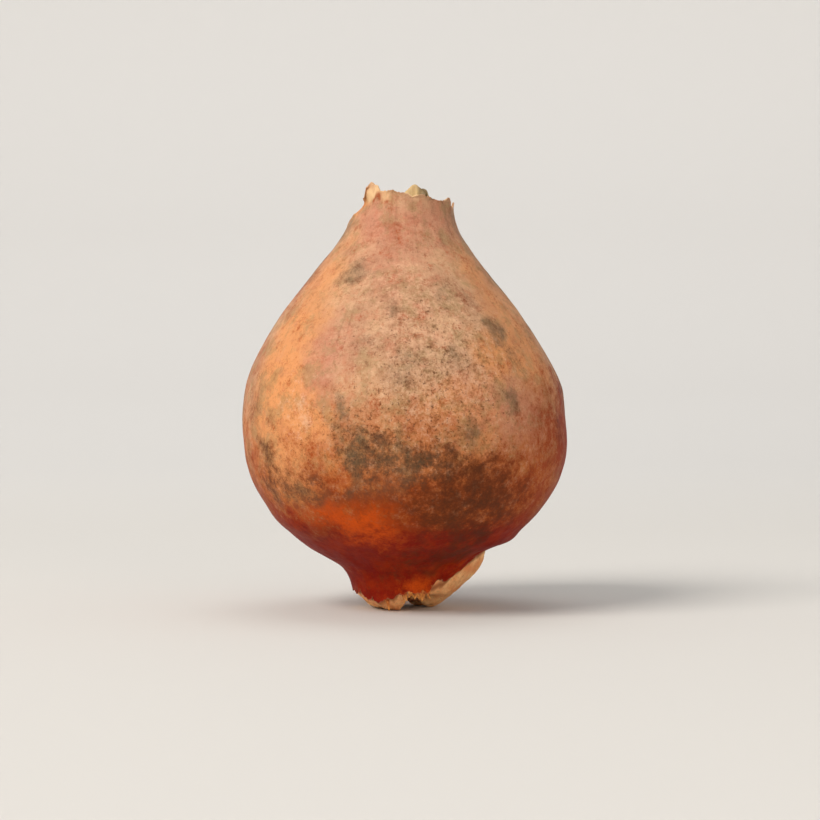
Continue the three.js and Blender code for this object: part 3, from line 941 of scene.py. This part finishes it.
def root_pits(points):
    """How deep each point lies, from 0 to 1, in one of the pits that roots left round the scar."""
    draw = random.Random(21)
    depth = np.zeros(len(points))
    for count in range(ROOT_PITS):
        middle = outward(360 * (count + draw.uniform(-0.3, 0.3)) / ROOT_PITS) * draw.uniform(*PITS_LIE)
        away = np.hypot(points[:, 0] - middle.x, points[:, 1] - middle.y)
        depth = np.maximum(depth, hump(away / draw.uniform(*PIT_RADII)))
    return depth


def add_root_plate():
    sections = [plate_outline(*column) for column in zip(ANGLES, HEMS)]
    root_plate = rounded(turned(sections, COLUMNS), "dried_root_plate", 2)
    points = points_of(root_plate.data)
    angles, heights, radii = polar(points)
    hems = round_the_bulb(angles, HEMS)
    open_side = blend(heights, hems + 0.2, hems - 0.4) * blend(heights, 0.0, 0.5)
    points = points + away_from_axis(points) * (waves(points, PLATE_LUMPS) * open_side)[:, None]

    underside = blend(heights, 1.6, 1.0) * blend(radii, 4.2, 3.8)
    pits = root_pits(points) * underside
    scar_edge = OLD_SCAR + waves(points, SCAR_EDGE)
    scar = blend(radii, scar_edge + 0.12, scar_edge - 0.12) * underside
    points[:, 2] += PIT_DEPTH * pits + (SCAR_DEPTH + waves(points, SCAR_GROUND)) * scar
    points[:, 2] += stretches(angles, FOOT_RISES) * blend(heights, 2.4, 0.2) * blend(radii, 1.0, 3.0)
    under_hem = hump((heights - hems) / 0.8)
    paint(root_plate.data, "browned", np.maximum.reduce([0.8 * under_hem, 0.75 * scar, 0.8 * pits]))
    finished(root_plate, points, plate_material(), "root_plate")


# The tips of the inner scales ------------------------------------------------------------------

# A dried tip: its angle, its radius in the mouth, its width, its height, how far its point leans
# aside, how far it leans out of the mouth and how olive it is.
TIPS = [
    {"at": 152, "radius": 3.75, "width": 4.2, "top": 52.5, "aside": 0.17, "out": 0.3, "tone": 0.2},
    {"at": 135, "radius": 3.9, "width": 4.6, "top": 52.0, "aside": 0.2, "out": 0.2, "tone": 0.9},
    {"at": 20, "radius": 3.3, "width": 4.6, "top": 49.9, "aside": 0.3, "out": 0.2, "tone": 0.4},
    {"at": 262, "radius": 3.4, "width": 4.2, "top": 50.2, "aside": -0.2, "out": 0.3, "tone": 0.4},
    {"at": 205, "radius": 2.6, "width": 3.0, "top": 49.6, "aside": 0.2, "out": 0.1, "tone": 0.3},
]
TIP_WALL = 0.22
TIP_TAPER = 0.5  # what a tip loses of its width towards its point
NOSE_OUTLINE = [(0, 0.2), (1.7, 0.2), (1.75, 1.2), (1.5, 2.2), (1.05, 3.1), (0.5, 3.7), (0, 4.0)]


def add_tip(bm, olive, at, radius, width, top, aside, out, tone):
    """A tapered strip bent round the axis, with a blunt torn point."""
    made = bmesh.ops.create_grid(bm, x_segments=14, y_segments=22, size=0.5)
    foot = MOUTH_FLOOR + 0.15
    for vert in made["verts"]:
        across, up = vert.co.x * 2, vert.co.y + 0.5
        edge = 0.2 * noise.noise(Vector((up * 6, at, across))) * up
        half = width / 2 * (1 - TIP_TAPER * up ** 2) + edge
        offset = across * half + aside * width * up ** 2
        height = foot + (top - foot) * up * (1 - 0.22 * (up * across) ** 2) + edge
        crease = 0.10 * noise.noise(Vector((offset * 1.8, at, height * 0.3)))
        bent = radius + out * up ** 2 + crease
        vert.co = outward(at + math.degrees(offset / radius)) * bent + Vector((0, 0, height))
        vert[olive] = tone + 0.6 * float(blend(across * (1 if aside < 0 else -1), -0.1, 0.9))
    faces = list(dict.fromkeys(face for vert in made["verts"] for face in vert.link_faces))
    bmesh.ops.recalc_face_normals(bm, faces=faces)
    bmesh.ops.solidify(bm, geom=faces, thickness=TIP_WALL)


def add_nose(bm):
    """The ribbed point of the innermost scale, on the floor of the mouth, in a bmesh of its own."""
    line = [bm.verts.new((radius, 0, MOUTH_FLOOR + height)) for radius, height in NOSE_OUTLINE]
    edges = [bm.edges.new(pair) for pair in zip(line, line[1:])]
    bmesh.ops.spin(bm, geom=line + edges, cent=(0, 0, 0), axis=(0, 0, 1), angle=math.tau, steps=28,
                   use_merge=True)
    for vert in bm.verts:
        turn = math.atan2(vert.co.x, -vert.co.y)
        rib = 1 + 0.07 * math.sin(7 * turn) + 0.04 * math.sin(11 * turn + 1)
        vert.co.x, vert.co.y = vert.co.x * rib + 0.1, vert.co.y * rib
    bmesh.ops.remove_doubles(bm, verts=bm.verts, dist=1e-4)
    bmesh.ops.recalc_face_normals(bm, faces=bm.faces)


def add_scale_tips():
    bm = bmesh.new()
    olive = bm.verts.layers.float.new("olive")
    add_nose(bm)
    for tip in TIPS:
        add_tip(bm, olive, **tip)
    tips = rounded(bm, "dried_scale_tips", 1)
    finished(tips, None, scale_material(), "scale_tips")


# Shreds of the inner ply under the hem ----------------------------------------------------------

SHREDS_AT = [*range(-2, 27, 2), 31, -20, 150, 175, 215, 250]  # most hang where the front is torn
SHRED_LEANS = (-0.7, 0.7)
SHRED_LENGTHS = (0.7, 1.6)
SHRED_WIDTHS = (0.25, 0.65)
SHRED_CURLS = (-0.05, 0.25)
SHRED_WALL = 0.09
SHRED_UNDER = 0.45  # how far a shred starts above the edge of the hem
SHRED_SLOPE = 0.35  # how much nearer the axis a shred gets with each mm under the hem
THINNEST = 0.05  # the least half width, so that no strip folds up


def add_shred(bm, dryness, at, lean, length, width, draw):
    """A thin strip that comes out from under the hem and lies on the root plate."""
    hem = float(round_the_bulb(at, HEMS) + hem_shape(at))
    made = bmesh.ops.create_grid(bm, x_segments=4, y_segments=8, size=0.5)
    curl = draw.uniform(*SHRED_CURLS)
    seed = draw.uniform(0, 9)
    for vert in made["verts"]:
        across, up = vert.co.x * 2, vert.co.y + 0.5
        height = hem + SHRED_UNDER - length * up - 0.15 * up * abs(across)
        side = 3 if across > 0 else -3
        ragged_side = 1 + 0.6 * noise.noise(Vector((up * 4, seed, side)))
        half = max(width / 2 * (1 - 0.85 * up ** 1.5) * ragged_side, THINNEST)
        sway = 0.12 * noise.noise(Vector((up * 2.5, seed + 20, 0)))
        offset = across * half + lean * up + sway
        angle = at + math.degrees(offset / 6.3)
        edge = float(round_the_bulb(angle, HEMS))
        seat = outer_radius(body, angle, max(height, edge + EDGE_INSET)) - SKIN - SHRED_WALL
        out = seat - SHRED_SLOPE * max(0.0, edge - height) + curl * up ** 2
        vert.co = outward(angle) * out + Vector((0, 0, height))
        vert[dryness] = up
    faces = list(dict.fromkeys(face for vert in made["verts"] for face in vert.link_faces))
    bmesh.ops.recalc_face_normals(bm, faces=faces)
    if sum(face.normal.dot(outward(at)) for face in faces) < 0:
        bmesh.ops.reverse_faces(bm, faces=faces)
    front = bmesh.ops.extrude_face_region(bm, geom=faces, use_keep_orig=True)["geom"]
    for vert in front:
        if isinstance(vert, bmesh.types.BMVert):
            vert.co += outward(at) * SHRED_WALL


def add_shreds():
    draw = random.Random(12)
    bm = bmesh.new()
    dryness = bm.verts.layers.float.new("dryness")
    for at in SHREDS_AT:
        add_shred(bm, dryness, at + draw.uniform(-1, 1), draw.uniform(*SHRED_LEANS),
                  draw.uniform(*SHRED_LENGTHS), draw.uniform(*SHRED_WIDTHS), draw)
    shreds = rounded(bm, "hem_shreds", 1)
    finished(shreds, None, shred_material(), None)


add_camera()
add_studio()
add_floor()
add_tunic()
add_root_plate()
add_scale_tips()
add_shreds()
